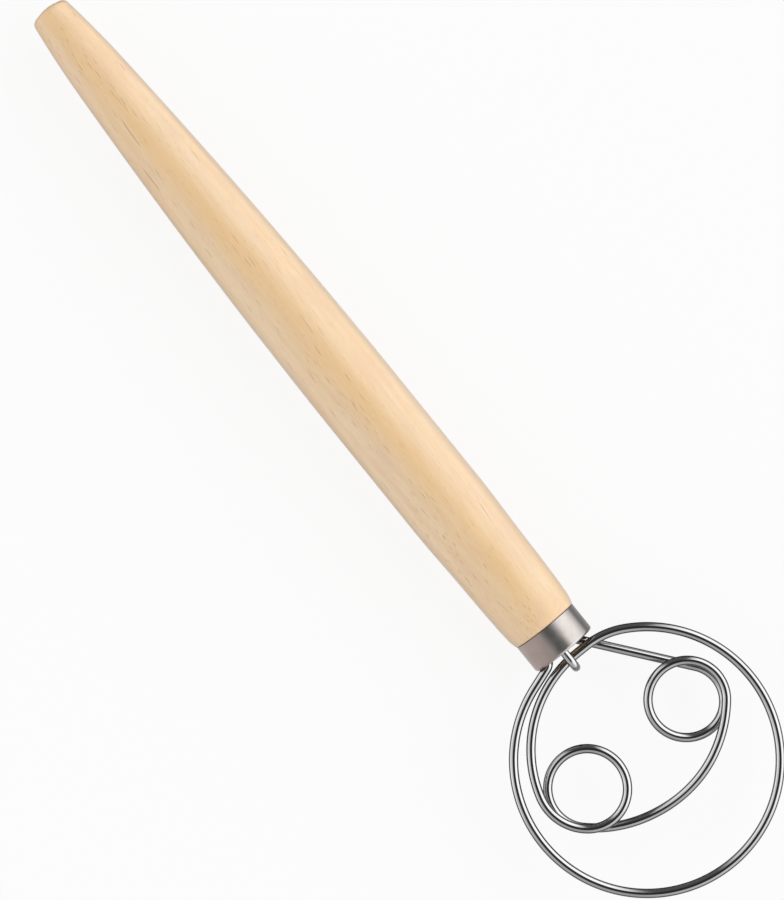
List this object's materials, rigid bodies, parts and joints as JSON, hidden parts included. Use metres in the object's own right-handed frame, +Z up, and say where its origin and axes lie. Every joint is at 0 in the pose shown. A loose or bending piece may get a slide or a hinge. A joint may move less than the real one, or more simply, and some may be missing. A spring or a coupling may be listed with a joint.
{
  "type": "dough whisk",
  "caption": "Flat wire dough whisk: a ring, a big arc and round eyes bent from unbroken wire, held by a metal ferrule in a long turned wooden handle.",
  "frame": {"origin": "under the middle of the tool's box, on the surface that it lies on", "axes": "+X along the handle's axis towards the wire head, +Z up out of the plane of the ring, +Y across the ring"},
  "size_m": [0.3434, 0.0862, 0.0266],
  "materials": {
    "wood": "satin lacquer over pale close-grained wood with short dark pore marks",
    "ferrule_steel": "polished, a little dull",
    "wire_steel": "bright drawn stainless steel"
  },
  "bodies": {
    "root": {"handle": "wood", "ferrule": "ferrule_steel", "wire_head": "wire_steel", "hook": "wire_steel"}
  },
  "joints": []
}
